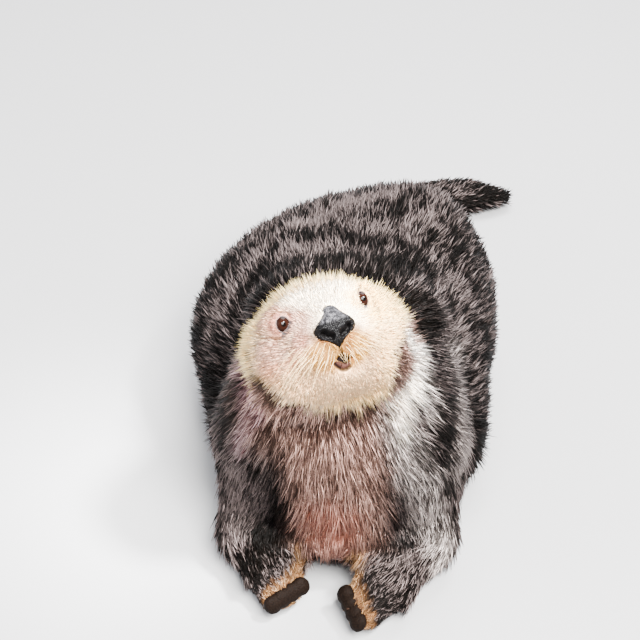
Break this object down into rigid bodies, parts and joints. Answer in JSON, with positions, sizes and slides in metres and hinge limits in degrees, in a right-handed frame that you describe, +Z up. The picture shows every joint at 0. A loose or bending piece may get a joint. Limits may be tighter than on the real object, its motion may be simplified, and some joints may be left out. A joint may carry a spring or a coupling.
{
  "type": "sea otter model",
  "caption": "Life-size still model of an adult sea otter lying on its belly and forearms, with its blond head raised and tilted, dark broad back, webbed hind feet and thick tail.",
  "frame": {"origin": "on the floor, under the lower chest, in the flat that the belly rests on", "axes": "+Z up, -Y the way the animal faces, +X towards its left side"},
  "size_m": [0.3732, 0.8112, 0.3748],
  "materials": {
    "blond_fur": "short cream and straw-coloured fur",
    "silver_fur": "clumped grey-beige fur with silver tips",
    "dark_fur": "dense dark brown fur with silver-grey tips",
    "nose_skin": "bare moist pebbled skin",
    "pad_skin": "bare rough skin",
    "eye": "wet, dark brown",
    "claw_horn": "dull horn"
  },
  "bodies": {
    "root": {"chest": "silver_fur", "claw_hind_left_1": "claw_horn", "claw_hind_left_2": "claw_horn", "claw_hind_left_3": "claw_horn", "claw_hind_left_4": "claw_horn", "claw_hind_left_5": "claw_horn", "claw_hind_right_1": "claw_horn", "claw_hind_right_2": "claw_horn", "claw_hind_right_3": "claw_horn", "claw_hind_right_4": "claw_horn", "claw_hind_right_5": "claw_horn", "ear_left": "blond_fur", "ear_right": "blond_fur", "eye_left": "eye", "eye_right": "eye", "forearm_left": "dark_fur", "forearm_right": "dark_fur", "forepaw_left": "dark_fur", "forepaw_right": "dark_fur", "head": "blond_fur", "hindfoot_left": "dark_fur", "hindfoot_right": "dark_fur", "lower_jaw": "blond_fur", "muzzle": "blond_fur", "neck": "silver_fur", "nose": "nose_skin", "palm_pads_left": "pad_skin", "palm_pads_right": "pad_skin", "rump": "dark_fur", "tail_root": "dark_fur", "tail_tip": "dark_fur", "thigh_left": "dark_fur", "thigh_right": "dark_fur", "trunk": "dark_fur", "upper_arm_left": "dark_fur", "upper_arm_right": "dark_fur"}
  },
  "joints": []
}
